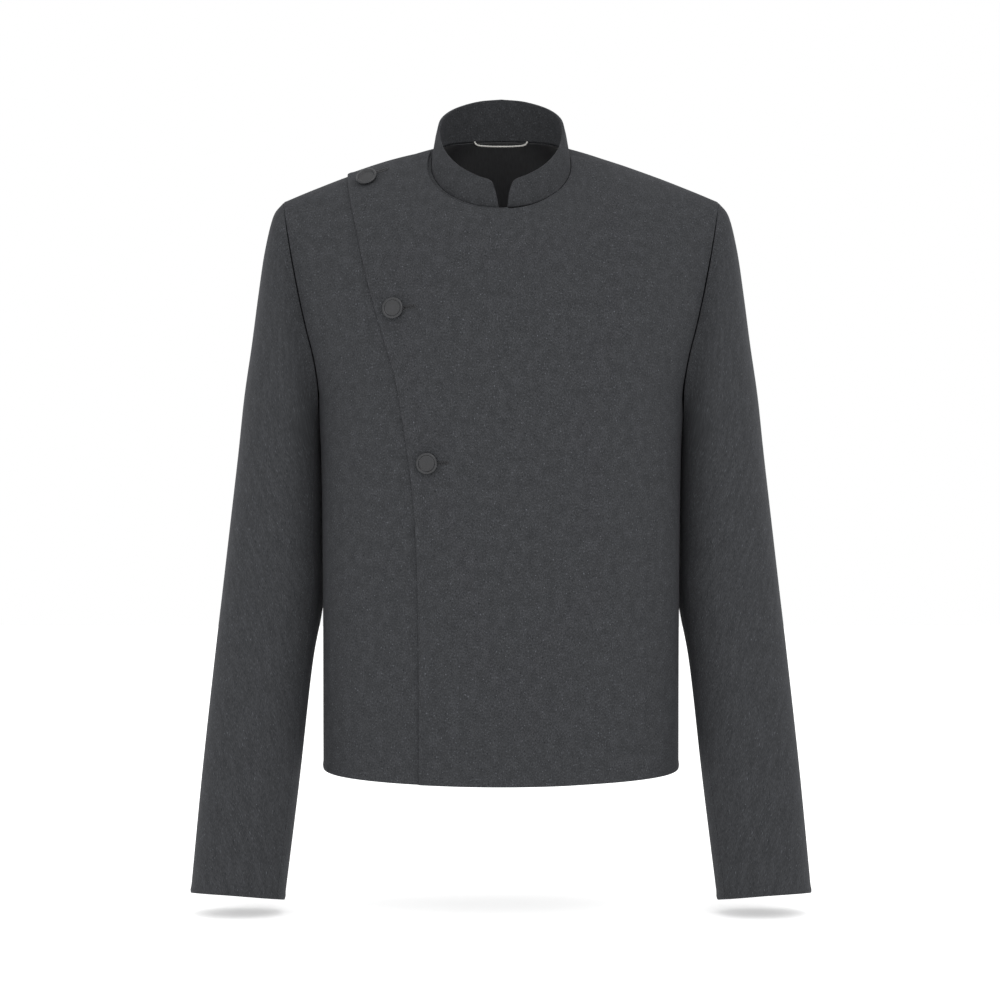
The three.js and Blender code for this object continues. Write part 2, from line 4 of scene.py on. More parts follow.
import bpy
import numpy as np
from bpy.props import FloatProperty, PointerProperty
from bpy.types import Operator, Panel, PropertyGroup
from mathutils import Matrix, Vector


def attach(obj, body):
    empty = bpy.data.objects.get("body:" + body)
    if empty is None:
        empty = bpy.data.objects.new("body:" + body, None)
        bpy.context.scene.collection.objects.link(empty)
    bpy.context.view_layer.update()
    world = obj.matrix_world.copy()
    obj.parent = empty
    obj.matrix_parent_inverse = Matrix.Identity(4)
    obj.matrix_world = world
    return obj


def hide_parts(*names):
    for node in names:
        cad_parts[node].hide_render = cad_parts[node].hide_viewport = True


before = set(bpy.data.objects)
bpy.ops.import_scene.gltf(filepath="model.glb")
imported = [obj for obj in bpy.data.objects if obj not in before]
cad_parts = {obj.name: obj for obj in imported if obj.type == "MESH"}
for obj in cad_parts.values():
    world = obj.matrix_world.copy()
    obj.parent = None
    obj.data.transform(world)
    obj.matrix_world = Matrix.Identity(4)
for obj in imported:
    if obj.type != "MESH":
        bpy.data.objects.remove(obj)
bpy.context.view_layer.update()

bl_info = {
    "name": "Stand-collar wool jacket",
    "version": (1, 0, 0),
    "blender": (4, 5, 0),
    "location": "View3D > Sidebar > Jacket",
    "description": "Builds the cloth, buttons and sewing of a stand-collar wool jacket",
    "category": "Add Mesh",
}

# Lengths are in millimetres until a mesh is made. X points to the wearer's left, -Y to the front, Z up.
METRES = 0.001
FULL_TURN = 2 * math.pi
# Gap between the lining and the back, and along the armhole.
SEAM_GAP = 0.3
# Pieces sewn edge to edge run a little way into each other, so that no light passes through the seam.
SEWN_INTO = 0.16
CLOTH_WALL = 2.0
COLLAR_WALL = 2.5
LINING_WALL = 1.0
OVERLAP_GAP = 0.8
# Levels of the underarm and the chest, and the armhole's reach to the front and back of the side seam.
UNDERARM = -275.0
CHEST = -190.0
ARMHOLE = {"front": 50.0, "back": 56.0}
# Power of the superellipse that the body's level sections follow.
SQUARENESS = 2.5
# Share of the side edge that is side seam, and of the top seams that belongs to the neck.
SIDE_SEAM = 0.72
NECK = 0.47
# Where the yoke passes from the neck's roll to the shoulder's, as shares of the neck's part.
ROLL_FROM = 0.8
ROLL_TO = 1.25
TOWARD = {"front": -1.0, "back": 1.0}


def table(columns, *rows):
    """A table by column: each name gives its column as an array."""
    values = np.array(rows, dtype=float)
    return {name: values[:, place] for place, name in enumerate(columns.split())}


# Level sections of the body from the hem to the chest: half width and depth to the front and back.
BODY = table(
    "z half front back",
    (-640, 177, 116, 112),
    (-450, 177.5, 118, 114),
    (-300, 179.5, 121, 118),
    (-250, 183, 122, 121),
    (-222, 189, 122, 123),
    (-190, 198, 122, 125),
)
HEM = {
    "front": {"centre": -625.0, "side": -615.5},
    "back": {"centre": -619.0, "side": -615.5},
}

# The neck seam from the centre to the shoulder seam, and how the cloth comes up to it, in degrees.
NECK_SEAM = {
    "front": table(
        "along x y z lean climb",
        (0, 0, -77.5, -65.6, 0, 50),
        (0.13, 16.5, -76.5, -64.3, 9, 50),
        (0.26, 31.2, -73, -61, 18, 48),
        (0.4, 46, -65.5, -54, 27, 45),
        (0.55, 59, -53, -43.5, 34, 42),
        (0.72, 68, -36, -28, 40, 38),
        (0.87, 69, -20, -12.5, 42, 35),
        (1, 66, -4, 0, 40, 32),
    ),
    "back": table(
        "along x y z lean climb",
        (0, 0, 53, 16, 0, 52),
        (0.35, 23, 50.5, 15.3, 12, 47),
        (0.66, 46, 38, 12.5, 26, 34),
        (0.85, 59.5, 18, 7, 38, 14),
        (1, 66, -4, 0, 40, -8),
    ),
}
SHOULDER_SEAM = table(
    "along x y z lean front back",
    (0, 66, -4, 0, 40, 32, -8),
    (0.3, 111, -2, -12.3, 14, 16, -4),
    (0.58, 154, 0, -27, 4, 8, -2),
    (0.83, 191, 0, -41.5, 0, 3, 0),
    (1, 217, 0, -52.5, 0, 0, 0),
)
YOKE_CURVE = {
    "front": {"rise": 0.34, "neck": 0.3, "shoulder": 0.24},
    "back": {"rise": 0.46, "neck": 0.34, "shoulder": 0.45},
}

# Free edges of the two fronts, from the hem up.
OVERLAP_EDGE = table(
    "z x",
    (-640, -78.5), (-470, -79), (-368, -82.5), (-301, -90), (-234, -101),
    (-199, -111), (-137, -128.5), (-83, -140.5), (-47, -148.5), (-20, -153),
)
UNDERLAP_EDGE = table("z x", (-640, 45), (-170, 45), (-110, 34), (-64, 6))
# Past the under front's edge the overlap comes down to the body; at the top it is trimmed a little shorter.
OVERLAP_START = 3.0
OVERLAP_FADE = 44.0
OVERLAP_TRIM = 0.036

# Sleeve sections from the armhole to the cuff.
SLEEVE = table(
    "at inX inZ outX outZ front back forward",
    (0, 179.5, -275, 217, -52.5, 50, 56, 0),
    (1, 180.4, -279, 227.5, -67, 55, 61, 0),
    (2, 180.8, -284, 235.5, -100, 60, 66, 0),
    (3, 181, -291, 242, -145, 63, 68, 0),
    (4, 181, -302, 248.5, -195, 64, 70, 0),
    (5, 181, -320, 256, -247, 64, 70, 0),
    (6, 180.8, -350, 262, -303, 62, 68, 0),
    (7, 180.6, -396, 269.5, -366, 59, 64, -2),
    (8, 181.5, -452, 278.5, -444, 55, 59, -1),
    (9, 188, -508, 285, -505, 52, 55, 6),
    (10, 199, -621, 295.5, -617, 47, 48, 24),
    (11, 213, -743.5, 305, -736.5, 44, 44, 43),
)
# Power of the sections' superellipse, and their usual distance apart along the sleeve.
SLEEVE_FULLNESS = 2.2
SECTION_LENGTH = 62
# Sections at which the cap ends, the upper rows end, the cuff's rise starts and the sleeve ends.
CAP_FADE = 3.0
UPPER_END = 5
CUFF_FLARE_AT = 9.0
CUFF_AT = 11.0
CUFF_RISE = 6.6
# The sleeve's gap along the armhole, which closes by this section, and its extra gap under the arm.
CAP_GAP = SEAM_GAP * 1.2
GAP_FADE_AT = 0.5
UNDERARM_GAP = 0.5
# Spare cloth of the under sleeve, which swells behind the body's side: its height, place and spread,
# and the sections between which it comes and goes.
SPARE_CLOTH = 7.0
SPARE_TURN = math.radians(-38)
SPARE_SPREAD = math.radians(24)
SPARE_COMES = (2.2, 4)
SPARE_GOES = (8.3, 9.6)
# Share of the half armhole, from the underarm up, that is the side edges' scoop.
SCOOP_SHARE = 0.4
# The two seams of a sleeve, in degrees from the side next to the body, forward and over.
FORE_SEAM = 32.0
HIND_SEAM = 286.0

# The collar's top edge from the back to the front centre, and how its ends are rounded.
COLLAR_RIM = table(
    "along x y z",
    (0, 0, 45, 57.4), (0.16, 25, 42, 54.5), (0.3, 48.5, 27, 45), (0.4, 60.2, 6, 32.5),
    (0.48, 62.5, -14, 18), (0.61, 57, -37, -3), (0.76, 42, -60, -22), (0.9, 20, -73, -35),
    (1, 0, -77, -40),
)
COLLAR_ENDS = table(
    "up right left",
    (0, 2, 6), (0.5, 5, 8), (0.8, 8, 11), (0.94, 10.5, 14), (1, 15, 18.5),
)
# Place of the shoulder seams round the collar, its bow outwards, and the depth of the point it bows from.
COLLAR_SIDE = 0.46
COLLAR_BOW = 1.5
COLLAR_CENTRE = -10
# How far the collar's foot is sewn down over the top edge of the body.
COLLAR_SEWN_DOWN = 0.9
COLLAR_INSET = 0.5

# Turned button: radius and height above the cloth, from the shank over the raised rim to the flat middle.
BUTTON_PROFILE = table(
    "radius height",
    (0, 0), (3, 0), (3, 1.3), (4, 1.4), (8, 1.4), (8.9, 1.6), (9.9, 2.1), (10.5, 2.9), (10.55, 3.5),
    (10.2, 4.1), (9.6, 4.5), (8.9, 4.62), (8.3, 4.45), (7.9, 3.95), (7.6, 3.35), (7.2, 3.12),
    (6.5, 3.1), (4, 3.25), (2, 3.3), (0, 3.3),
)
# Where each button sits as seen from the front, how far it tips forward on its shank and stands off.
BUTTON_PLACES = {
    "button_shoulder": (-131.0, -35.5, 0.24, 0.9),
    "button_chest": (-102.5, -167.0, 0.0, 0.3),
    "button_waist": (-70.0, -315.0, 0.0, 0.3),
}
# Each buttonhole's two ends as seen from the front, from under the button outwards.
HOLE_PLACES = {
    "button_shoulder": ((-128.5, -30.0), (-112.6, -24.6)),
    "button_chest": ((-96.5, -166.6), (-82.6, -165.2)),
    "button_waist": ((-65.0, -315.6), (-51.4, -314.4)),
}

# The hanger loop's route at the back neck, its cord's radius and the cord's length for half a twist.
LOOP_ROUTE = table(
    "x y z",
    (-27, 45.8, 14.5), (-25, 45, 11.4), (-20.5, 45.4, 10), (0, 48, 9.6),
    (20.5, 45.4, 10), (25, 45, 11.4), (27, 45.8, 14.5),
)
LOOP_RADIUS = 0.9
LOOP_HALF_TWIST = 3.2
# The lining's share of the back above the chest, and how many such widths make up a shoulder seam.
LINING_ROWS_SHARE = 7 / 9
LINING_COLUMN = 5

# Soft creases of the body as seen from its own side: two ends, width of the crease and its height,
# which is negative for a trough.
BODY_CREASES = {
    "front": table(
        "x0 z0 x1 z1 width height",
        (176, -262, 118, -196, 17, -1.6),
        (170, -296, 104, -250, 20, 1.2),
        (-176, -264, -124, -206, 16, -1.4),
        (-170, -300, -112, -262, 22, 1.1),
        (186, -150, 150, -92, 18, -1.3),
        (-186, -148, -158, -96, 17, -1.2),
        (62, -620, 74, -452, 30, 1.5),
        (118, -618, 108, -500, 24, -1.2),
        (-132, -616, -126, -470, 26, 1.2),
        (-20, -622, -26, -520, 28, -0.9),
        (84, -104, 30, -128, 20, 0.9),
        (16, -330, 86, -352, 34, -0.8),
    ),
    "back": table(
        "x0 z0 x1 z1 width height",
        (172, -260, 112, -200, 18, -1.8),
        (-174, -262, -108, -204, 19, -1.7),
        (-70, -616, -80, -460, 30, 1.6),
        (64, -616, 52, -480, 28, 1.4),
        (2, -616, 6, -520, 24, -1.1),
        (-60, -34, 58, -36, 15, -1.0),
        (140, -120, 90, -96, 20, 1.0),
        (-138, -116, -84, -98, 20, 0.9),
        (-96, -330, 88, -338, 30, -1.0),
    ),
}
# Soft creases of a sleeve: place along the sleeve and angle round it at both ends, width and height.
SLEEVE_CREASES = table(
    "at0 turn0 at1 turn1 width height",
    (3.6, 40, 5.0, 96, 15, -1.5),
    (4.6, 24, 6.2, 84, 17, 1.1),
    (6.9, 16, 7.5, 104, 13, -1.7),
    (7.6, 10, 8.1, 92, 14, 1.3),
    (8.3, 14, 8.6, 74, 12, -1.2),
    (9.2, 60, 10.6, 74, 16, 0.9),
    (1.2, 196, 4.2, 206, 22, -0.9),
    (6.8, 352, 7.2, 262, 15, -1.5),
    (7.8, 350, 8.3, 276, 16, 1.2),
    (3.0, 330, 4.6, 268, 18, -1.4),
    (9.6, 236, 10.8, 228, 18, -0.9),
)


def read(rows, key, at, name):
    """A column at any place: a cubic between two rows whose slopes come from the rows on both sides."""
    keys, values = rows[key], rows[name]
    last = len(keys) - 1
    places = np.arange(last + 1)
    low, high = np.maximum(places - 1, 0), np.minimum(places + 1, last)
    slope = (values[high] - values[low]) / (keys[high] - keys[low])
    at = np.clip(at, keys[0], keys[-1])
    row = np.clip(np.searchsorted(keys, at, side="left") - 1, 0, last - 1)
    span = keys[row + 1] - keys[row]
    t = (at - keys[row]) / span
    bend = t * t * (3 - 2 * t)
    steep = t * (1 - t) ** 2 * slope[row] - t * t * (1 - t) * slope[row + 1]
    return values[row] + (values[row + 1] - values[row]) * bend + span * steep


def mix(low, high, share):
    """The value that lies a share of the way from low to high."""
    return low + (high - low) * share


def smooth(low, high, value):
    """0 below low, 1 above high, and 3t^2 - 2t^3 between."""
    t = np.clip((value - low) / (high - low), 0, 1)
    return t * t * (3 - 2 * t)


def vec(x, y, z):
    """Three coordinates as points, one for each place of the arrays."""
    return np.stack(np.broadcast_arrays(x, y, z), axis=-1)


def length(v):
    """Length of each vector, kept as a last axis of one."""
    return np.linalg.norm(v, axis=-1, keepdims=True)


def unit(v):
    """Each vector divided by its length."""
    return v / np.maximum(length(v), 1e-12)


def side_edge(face, up):
    """Level and depth of a side edge: a straight side seam, then a quarter ellipse for the scoop."""
    seam = mix(HEM[face]["side"], UNDERARM, up / SIDE_SEAM)
    turn = np.clip((up - SIDE_SEAM) / (1 - SIDE_SEAM), 0, 1) * math.pi / 2
    scoop = UNDERARM + (CHEST - UNDERARM) * (1 - np.cos(turn))
    depth = (ARMHOLE[face] + SEWN_INTO / 2) * np.sin(turn) - SEWN_INTO / 2
    return np.where(up <= SIDE_SEAM, seam, scoop), depth


def lower_point(face, across, up):
    """The body below the chest: level superellipses |x/half|^n + |y/depth|^n = 1, walked by angle."""
    side = np.abs(across)
    edge_z, edge_depth = side_edge(face, up)
    middle = mix(HEM[face]["centre"], CHEST, up)
    z = mix(middle, edge_z, side * side)
    used = np.minimum(np.abs(edge_depth) / read(BODY, "z", edge_z, face), 1)
    edge_x = read(BODY, "z", edge_z, "half") * (1 - used ** SQUARENESS) ** (1 / SQUARENESS)
    turn = np.arctan2(edge_x, edge_depth) * side
    half, depth = read(BODY, "z", z, "half"), read(BODY, "z", z, face)
    powers = (np.sin(turn) / half) ** SQUARENESS + np.abs(np.cos(turn) / depth) ** SQUARENESS
    reach = powers ** (-1 / SQUARENESS)
    return vec(np.sign(across) * reach * np.sin(turn), TOWARD[face] * reach * np.cos(turn), z)


def top_end(face, across):
    """Where a column of cloth meets the neck or shoulder seam, and the direction in which it arrives."""
    side = np.abs(across)
    on_neck = side < NECK
    along_neck = np.clip(side / NECK, 0, 1)
    along_shoulder = np.clip((side - NECK) / (1 - NECK), 0, 1)

    def get(name, shoulder_name=None):
        neck = read(NECK_SEAM[face], "along", along_neck, name)
        return np.where(on_neck, neck, read(SHOULDER_SEAM, "along", along_shoulder, shoulder_name or name))

    mirror = np.where(across < 0, -1.0, 1.0)
    inward = -TOWARD[face]
    lean, climb = np.radians(get("lean")), np.radians(get("climb", face))
    seam_half = np.where(on_neck, 0, -SEWN_INTO / 2)
    point = vec(mirror * get("x"), get("y") - inward * seam_half, get("z"))
    level = np.cos(climb)
    arrival = vec(-mirror * np.sin(lean) * level, inward * np.cos(lean) * level, np.sin(climb))
    return point, arrival


def body_point(face, across, up):
    """The body's outside: rings up to the chest, then a cubic Bezier curve up each column."""
    across, up = np.broadcast_arrays(np.asarray(across, float), np.asarray(up, float))
    chest = np.ones_like(up)
    start = lower_point(face, across, chest)
    rising = unit(start - lower_point(face, across, chest * 0.99))
    end, arrival = top_end(face, across)
    curve = YOKE_CURVE[face]
    way = length(end - start)
    roll = mix(curve["neck"], curve["shoulder"], smooth(NECK * ROLL_FROM, NECK * ROLL_TO, np.abs(across)))
    second = start + rising * way * curve["rise"]
    third = end - arrival * way * roll[..., None]
    t = np.clip(up - 1, 0, 1)[..., None]
    high = start * (1 - t) ** 3 + 3 * second * t * (1 - t) ** 2 + 3 * third * t * t * (1 - t) + end * t ** 3
    return np.where((up <= 1)[..., None], lower_point(face, across, np.minimum(up, 1)), high)


def edge_across(edge, up):
    """How far across the front a free edge lies on each row, found by halving the interval."""
    halvings = 34
    low, high = np.full_like(up, -1.0), np.full_like(up, 1.0)
    for _ in range(halvings):
        middle = (low + high) / 2
        point = body_point("front", middle, up)
        left_of = point[..., 0] < read(edge, "z", point[..., 2], "x")
        low, high = np.where(left_of, middle, low), np.where(left_of, high, middle)
    return (low + high) / 2


def overlap_lift(point):
    """Height of the overlap over the body: full on the under front, smoothly down past its edge."""
    edge = read(UNDERLAP_EDGE, "z", point[..., 2], "x") + OVERLAP_START
    return (CLOTH_WALL + OVERLAP_GAP) * (1 - smooth(edge, edge + OVERLAP_FADE, point[..., 0]))


def grid_normals(points):
    """Cross product of the two directions of a grid, rows across first."""
    return unit(np.cross(np.gradient(points, axis=1), np.gradient(points, axis=0)))


def stops(stretches, reach):
    """Shares from 0 to 1: evenly in each stretch of (end, count), with extra ones close to both ends.

    reach is the row's length in mm, and the extra ones lie from 0.04 to 6 mm in from an end.
    """
    fine = np.array([0.04, 0.14, 0.3, 0.5, 0.75, 1.05, 1.4, 1.9, 2.6, 3.6, 4.8, 6.2]) / reach
    clear = fine[-1] * 1.15
    start, shares = 0.0, []
    for end, count in stretches:
        shares.append(start + (end - start) * np.arange(1, count + 1) / count)
        start = end
    shares = np.concatenate(shares)
    inside = shares[(shares > clear) & (shares < 1 - clear)]
    return np.unique(np.concatenate([[0], fine, inside, 1 - fine[::-1], [1]]))


def spread(shares, places, values):
    """Straight stretches between the values at the places, which may differ from row to row."""
    places = np.array(places)
    place = np.clip(np.searchsorted(places, shares, side="left") - 1, 0, len(places) - 2)
    t = (shares - places[place]) / (places[place + 1] - places[place])
    ends = np.concatenate(np.broadcast_arrays(*values), axis=1)
    return ends[:, place] * (1 - t) + ends[:, place + 1] * t


def armhole(turn):
    """The left armhole's seam, from the underarm over the front: scoop first, then up to the shoulder."""
    whole = np.mod(turn, FULL_TURN)
    share = np.minimum(whole, FULL_TURN - whole) / math.pi
    scoop = mix(SIDE_SEAM, 1, share / SCOOP_SHARE)
    up = np.where(share < SCOOP_SHARE, scoop, 1 + (share - SCOOP_SHARE) / (1 - SCOOP_SHARE))
    side = np.ones_like(up)
    on_front = (whole <= math.pi)[..., None]
    return np.where(on_front, body_point("front", side, up), body_point("back", side, up))


def sleeve_ring(at, turn):
    """A sleeve section: |cos|^n + |sin|^n = 1 scaled to its ends and depths, raised at the cuff.

    Between two sections a bell round the sleeve's inner back swells it by the spare cloth.
    """
    cosine, sine = np.cos(turn), np.sin(turn)
    powers = np.abs(cosine) ** SLEEVE_FULLNESS + np.abs(sine) ** SLEEVE_FULLNESS
    reach = powers ** (-1 / SLEEVE_FULLNESS)
    get = {name: read(SLEEVE, "at", at, name) for name in SLEEVE}
    depth = np.where(sine > 0, get["front"], get["back"])
    flare = np.maximum(at - CUFF_FLARE_AT, 0) / (CUFF_AT - CUFF_FLARE_AT)
    lifted = CUFF_RISE * flare * np.maximum(sine, 0) * at / CUFF_AT
    x = (get["inX"] + get["outX"]) / 2 - (get["outX"] - get["inX"]) / 2 * cosine * reach
    behind = np.mod(turn + math.pi, FULL_TURN) - math.pi - SPARE_TURN
    spare = np.exp(-(behind / SPARE_SPREAD) ** 2) * smooth(*SPARE_COMES, at) * (1 - smooth(*SPARE_GOES, at))
    x = x - SPARE_CLOTH * spare
    z = (get["inZ"] + get["outZ"]) / 2 - (get["outZ"] - get["inZ"]) / 2 * cosine * reach
    return vec(x, -get["forward"] - depth * sine * reach, z + lifted)


def sleeve_point(at, turn):
    """The left sleeve's outside: its sections, moved to the armhole over the cap by a square fade."""
    at, turn = np.broadcast_arrays(np.asarray(at, float), np.asarray(turn, float))
    left = np.maximum(1 - at / CAP_FADE, 0)[..., None]
    shift = armhole(turn) - sleeve_ring(np.zeros_like(at), turn)
    return sleeve_ring(at, turn) + shift * left * left


def neck_around(around):
    """The neck seam all round: from the front over the right shoulder and the back to the front."""
    side = np.abs(around)
    mirror = np.where(around < 0, -1.0, 1.0)
    on_back = side < COLLAR_SIDE
    back_along = np.clip(side / COLLAR_SIDE, 0, 1)
    front_along = np.clip((1 - side) / (1 - COLLAR_SIDE), 0, 1)

    def get(name):
        back = read(NECK_SEAM["back"], "along", back_along, name)
        return np.where(on_back, back, read(NECK_SEAM["front"], "along", front_along, name))

    return vec(mirror * get("x"), get("y"), get("z"))


def collar_point(around, up):
    """The collar's outside: straight up from the neck seam to the rim, bowed outwards by 4 up (1 - up)."""
    foot = neck_around(around)
    mirror = np.where(around < 0, -1.0, 1.0)
    rim = vec(*(read(COLLAR_RIM, "along", np.abs(around), name) for name in "xyz"))
    rim[..., 0] *= mirror
    outwards = unit(vec(foot[..., 0], foot[..., 1] - COLLAR_CENTRE, 0))
    bow = COLLAR_BOW * 4 * up * (1 - up) - COLLAR_INSET * (1 - up)
    return mix(foot, rim, up[..., None]) + outwards * bow[..., None]


def crease_height(u, v, creases):
    """Sum of soft creases: height times a bell across each line, faded at both of its ends.

    A line is bowed by a sine and its bell widens from the first end to the second.
    """
    bow, wave = 0.06, 2.7
    u, v = np.broadcast_arrays(u, v)
    total = np.zeros(u.shape)
    for u0, v0, u1, v1, width, height in zip(*creases.values()):
        du, dv = u1 - u0, v1 - v0
        long = math.hypot(du, dv)
        along = ((u - u0) * du + (v - v0) * dv) / long ** 2
        bowed = bow * long * np.sin(along * wave + height)
        apart = ((u - u0) * dv - (v - v0) * du) / long + bowed
        wide = width * (0.8 + 0.5 * np.clip(along, 0, 1))
        fade = smooth(-0.12, 0.3, along) * (1 - smooth(0.6, 1.15, along))
        total += height * np.exp(-(apart / wide) ** 2) * fade
    return total


def edge_distances(points):
    """Distance along the cloth from the first and last row and the first and last column."""
    across = np.cumsum(length(np.diff(points, axis=1))[..., 0], axis=1)
    across = np.pad(across, ((0, 0), (1, 0)))
    along = np.cumsum(length(np.diff(points, axis=0))[..., 0], axis=0)
    along = np.pad(along, ((1, 0), (0, 0)))
    return along, along[-1:] - along, across, across[:, -1:] - across


def rounded(distance, radius):
    """A quarter circle: 0 at the edge, 1 from a radius in."""
    return np.sqrt(1 - (1 - np.clip(distance / radius, 0, 1)) ** 2)


def put_mesh(name, points, faces, uv=None):
    """A mesh object at the origin from points in mm, arrays of faces and a texture place a point."""
    corners = np.concatenate([group.ravel() for group in faces]).astype(np.int32)
    counts = np.concatenate([np.full(len(group), group.shape[1]) for group in faces])
    mesh = bpy.data.meshes.new(name)
    mesh.vertices.add(len(points))
    mesh.vertices.foreach_set("co", (points * METRES).astype(np.float32).ravel())
    mesh.loops.add(len(corners))
    mesh.loops.foreach_set("vertex_index", corners)
    mesh.polygons.add(len(counts))
    mesh.polygons.foreach_set("loop_start", (np.cumsum(counts) - counts).astype(np.int32))
    mesh.polygons.foreach_set("use_smooth", np.ones(len(counts), dtype=bool))
    if uv is not None:
        layer = mesh.uv_layers.new(name="Cloth")
        layer.data.foreach_set("uv", uv[corners].astype(np.float32).ravel())
    mesh.update(calc_edges=True)
    made = bpy.data.objects.new(name, mesh)
    bpy.context.scene.collection.objects.link(made)
    return made


def grid_faces(index):
    """Faces of four corners between neighbouring places of a grid of point numbers."""
    corners = (index[:-1, :-1], index[:-1, 1:], index[1:, 1:], index[1:, :-1])
    return np.stack(corners, axis=-1).reshape(-1, 4)


# How an edge of a piece ends: the radius it is rounded with, and how far a folded edge puffs up beside it.
FREE = (1.0, 0.5)
COLLAR_FREE = (1.25, 0.12)
SEWN = (1.2, 0.0)
HIDDEN = (1.0, 0.0)
# How far in from a folded edge its puff lies, and how wide it is.
PUFF_AT = 3.4
PUFF_SPREAD = 2.6


def cloth_piece(node, points, edges, cloth, outward=1, wall=CLOTH_WALL):
    """A closed wall of cloth: the outside grid and one a wall's thickness in, meeting in round edges.

    edges gives the ends of the first and last row and column. The texture places are distances in metres
    along the rows and columns, from the grid's middle column. A folded edge is raised by a bell beside it.
    """
    distances = edge_distances(points)
    normals = grid_normals(points) * outward
    share = np.ones(points.shape[:2])
    puff = np.zeros(points.shape[:2])
    for distance, (radius, raised) in zip(distances, edges):
        share = share * rounded(distance, radius)
        puff = puff + raised * np.exp(-((distance - PUFF_AT) / PUFF_SPREAD) ** 2)
    half = wall / 2
    outside = points - normals * (half * (1 - share) - puff)[..., None]
    inside = points - normals * (half * (1 + share))[..., None]
    rows, columns = share.shape
    outer = np.arange(rows * columns).reshape(rows, columns)
    inner = outer.copy()
    inner[1:-1, 1:-1] = rows * columns + np.arange((rows - 2) * (columns - 2)).reshape(rows - 2, columns - 2)
    faces = [grid_faces(outer)[:, ::outward], grid_faces(inner)[:, ::-outward]]
    middle = distances[2][:, columns // 2, None]
    uv = np.stack([distances[2] - middle, distances[0]], axis=-1) * METRES
    every = np.concatenate([outside.reshape(-1, 3), inside[1:-1, 1:-1].reshape(-1, 3)])
    every_uv = np.concatenate([uv.reshape(-1, 2), uv[1:-1, 1:-1].reshape(-1, 2)])
    made = put_mesh(node + "_cloth", every, faces, every_uv)
    finish(made, [node], cloth)


def directions_round(forward, toward, turn):
    """Directions square to each forward one, turned about it from the one that is square to toward."""
    across = unit(np.cross(forward, toward))
    other = np.cross(forward, across)
    return np.cos(turn)[:, None] * across[..., None, :] + np.sin(turn)[:, None] * other[..., None, :]


def lathe_piece(name, profile, centre, axis, sides):
    """A turned piece: the profile's radius and height carried round an axis, closed at both poles."""
    ring = directions_round(axis, [0.0, 0.0, 1.0], np.linspace(0, FULL_TURN, sides, endpoint=False))
    radius, height = profile["radius"], profile["height"]
    body = centre + radius[1:-1, None, None] * ring + height[1:-1, None, None] * axis
    rows = len(radius) - 2
    index = np.arange(rows * sides).reshape(rows, sides)
    index = np.concatenate([index, index[:, :1]], axis=1)
    poles = rows * sides + np.arange(2)
    base = np.stack([index[0, :-1], np.full(sides, poles[0]), index[0, 1:]], axis=-1)
    top = np.stack([index[-1, :-1], index[-1, 1:], np.full(sides, poles[1])], axis=-1)
    points = np.concatenate([body.reshape(-1, 3), [centre + height[0] * axis, centre + height[-1] * axis]])
    return put_mesh(name, points, [grid_faces(index), base, top])


def tubes(name, points):
    """Closed tubes from rings of points along them: walls between neighbouring rings and capped ends."""
    index = np.arange(points[..., 0].size).reshape(points.shape[:-1])
    ring = np.concatenate([index, index[..., :1]], axis=-1)
    corners = (ring[..., :-1, :-1], ring[..., :-1, 1:], ring[..., 1:, 1:], ring[..., 1:, :-1])
    walls = np.stack(corners, axis=-1)
    half = index.shape[-1] // 2
    near, far = index[..., :half], index[..., :half - 1:-1]
    caps = np.stack([near[..., :-1], near[..., 1:], far[..., 1:], far[..., :-1]], axis=-1)
    faces = [walls, caps[..., 0, :, ::-1], caps[..., -1, :, :]]
    return put_mesh(name, points.reshape(-1, 3), [part.reshape(-1, 4) for part in faces])


def finish(made, nodes, material):
    """Gives a piece its material and its body, and hides its CAD nodes."""
    made.data.materials.clear()
    made.data.materials.append(material)
    if nodes:
        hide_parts(*nodes)
    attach(made, "root")
    return made


def linear(hex_colour):
    """An sRGB hex colour as linear red, green, blue and 1."""
    parts = [int(hex_colour[place:place + 2], 16) / 255 for place in (1, 3, 5)]
    return (*(c / 12.92 if c <= 0.04045 else ((c + 0.055) / 1.055) ** 2.4 for c in parts), 1.0)


def add(tree, kind, sockets=None, **settings):
    """Adds one shader node with its settings, each named socket linked or set."""
    made = tree.nodes.new(kind)
    for key, value in settings.items():
        setattr(made, key, value)
    for key, value in (sockets or {}).items():
        if isinstance(value, bpy.types.NodeSocket):
            tree.links.new(value, made.inputs[key])
        else:
            made.inputs[key].default_value = value
    return made


def ramp(made, *stops_and_colours):
    """Sets a colour ramp's stops."""
    elements = made.color_ramp.elements
    while len(elements) < len(stops_and_colours):
        elements.new(0.5)
    for element, (place, colour) in zip(elements, stops_and_colours):
        element.position = place
        element.color = colour
    return made


def new_material(name):
    """A material with an empty node tree."""
    made = bpy.data.materials.new(name)
    made.use_nodes = True
    made.node_tree.nodes.clear()
    return made, made.node_tree


